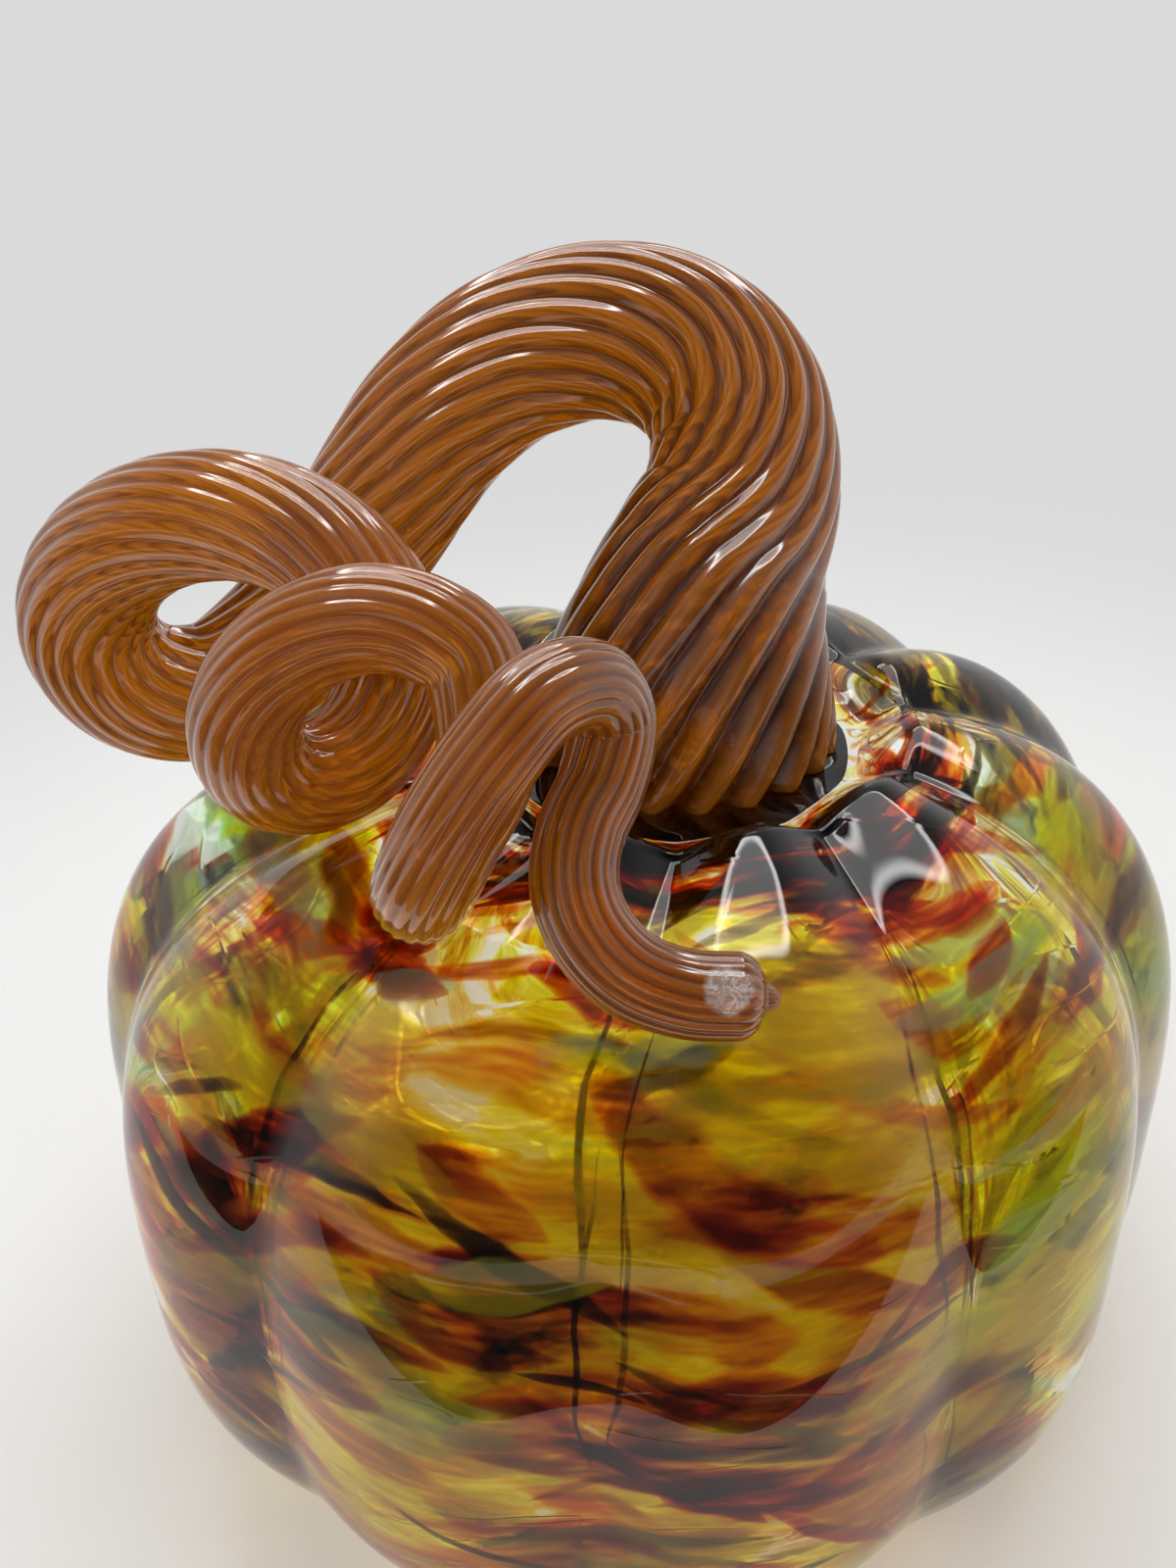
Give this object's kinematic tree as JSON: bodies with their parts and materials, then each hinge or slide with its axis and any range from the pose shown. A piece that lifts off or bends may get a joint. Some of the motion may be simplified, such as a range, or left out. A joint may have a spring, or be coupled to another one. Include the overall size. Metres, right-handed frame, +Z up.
{
  "type": "glass pumpkin",
  "caption": "Hand-blown glass pumpkin ornament: a lobed hollow body with coloured chips under clear glass, and a ribbed brown stem that arches and curls.",
  "frame": {"origin": "centre of the flat base", "axes": "+Z up, the front faces -Y, where the stem's tail ends over the shoulder, and +X is to the right seen from the front"},
  "size_m": [0.1505, 0.1505, 0.162],
  "materials": {
    "casing_glass": "clear, fire-polished",
    "amber_glass": "transparent amber, streaked",
    "red_glass": "transparent red, streaked",
    "yellow_glass": "transparent lemon yellow, streaked",
    "green_glass": "pale mint green, slightly milky",
    "dark_glass": "smoky green-black, streaked",
    "bubble_glass": "clear",
    "stem_glass": "brown amber, ribbed, fire-polished"
  },
  "bodies": {
    "root": {"casing": "casing_glass", "chips_amber": "amber_glass", "chips_red": "red_glass", "chips_yellow": "yellow_glass", "chips_green": "green_glass", "chips_dark": "dark_glass", "bubble": "bubble_glass", "stem": "stem_glass"}
  },
  "joints": []
}
